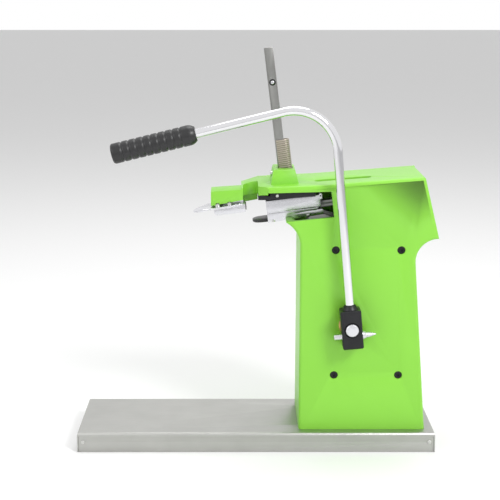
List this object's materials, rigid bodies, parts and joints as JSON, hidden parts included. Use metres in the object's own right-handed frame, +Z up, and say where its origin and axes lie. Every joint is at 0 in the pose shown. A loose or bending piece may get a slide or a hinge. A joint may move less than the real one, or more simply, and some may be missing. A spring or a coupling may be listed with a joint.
{
  "type": "bag clipping machine",
  "caption": "Hand-lever bench machine: a punch drives a U-shaped metal clip from a stick through a guide into a die and closes it round a bag neck",
  "frame": {"origin": "on the bench surface, under the middle of the base tray", "axes": "+X from the bag side to the rear, +Y away from the lever side, +Z up"},
  "size_m": [0.4, 0.1346, 0.4451],
  "materials": {
    "housing_green": "powder coat, satin",
    "tray_steel": "stainless sheet, brushed",
    "black_steel": "blackened, satin",
    "bright_steel": "ground and polished",
    "hard_steel": "hardened, ground",
    "lever_chrome": "chromed, polished",
    "fastener_steel": "zinc plated",
    "black_fastener": "black oxide",
    "clip_aluminium": "drawn wire, dull",
    "bush_bronze": "machined",
    "stop_rubber": "moulded",
    "pad_plastic": "moulded, matte",
    "grip_plastic": "moulded, matte"
  },
  "bodies": {
    "frame": {"base_tray": "tray_steel", "tray_rivets": "fastener_steel", "base_backing_plate": "fastener_steel", "base_bolts": "fastener_steel", "housing_body": "housing_green", "housing_cover": "housing_green", "side_bolts_near": "black_fastener", "side_bolts_far": "black_fastener", "frame_plate_near": "hard_steel", "frame_plate_far": "hard_steel", "frame_spacers": "hard_steel", "spacer_nuts": "fastener_steel", "shaft_bush_near": "bush_bronze", "shaft_bush_far": "bush_bronze", "guide_plate": "black_steel", "clip_chute": "black_steel", "plate_screws": "fastener_steel", "punch_guide": "bright_steel", "guide_strip": "bright_steel", "guide_screws": "fastener_steel", "neck_pad": "pad_plastic", "die_holder": "bright_steel", "die": "hard_steel", "holder_screws": "fastener_steel", "bag_horn": "bright_steel", "horn_screws": "fastener_steel", "magazine_tower": "housing_green", "tower_screws": "fastener_steel", "clip_rail": "hard_steel", "rail_screw": "fastener_steel", "catch_sleeve": "black_steel", "catch_button": "bright_steel", "spring_post": "hard_steel", "return_spring": "hard_steel", "lever_stop": "stop_rubber"},
    "lever": {"lever_rod": "lever_chrome", "lever_grip": "grip_plastic", "lever_collar": "black_steel", "lever_block": "black_steel", "cotter_pin": "bright_steel", "lever_shaft": "bright_steel", "shaft_rings": "black_fastener", "rocker_arm": "hard_steel", "rocker_key": "hard_steel", "drive_pin": "bright_steel"},
    "punch": {"punch_blade": "hard_steel", "punch_carriage": "hard_steel", "blade_screws": "black_fastener"},
    "clips": {"clip_stick": "clip_aluminium"}
  },
  "joints": [
    {"name": "lever_pull", "type": "hinge", "parent": "frame", "child": "lever", "pos_m": [0.104, 0, 0.1438], "axis": [0, -1, 0], "range_deg": [0, 21.3], "stiffness_Nm_per_rad": 1, "springref_deg": -57.3, "deforming": ["return_spring"]},
    {"name": "punch_slide", "type": "slide", "parent": "frame", "child": "punch", "axis": [-0.9925, 0, -0.1219], "range_m": [0, 0.05]},
    {"name": "clip_stack_slide", "type": "slide", "parent": "frame", "child": "clips", "axis": [-0.1219, 0, 0.9925], "range_m": [0, 0.06]}
  ],
  "couplings": [
    {"joint": "punch_slide", "follows": "lever_pull", "m_per_rad": 0.13446}
  ]
}
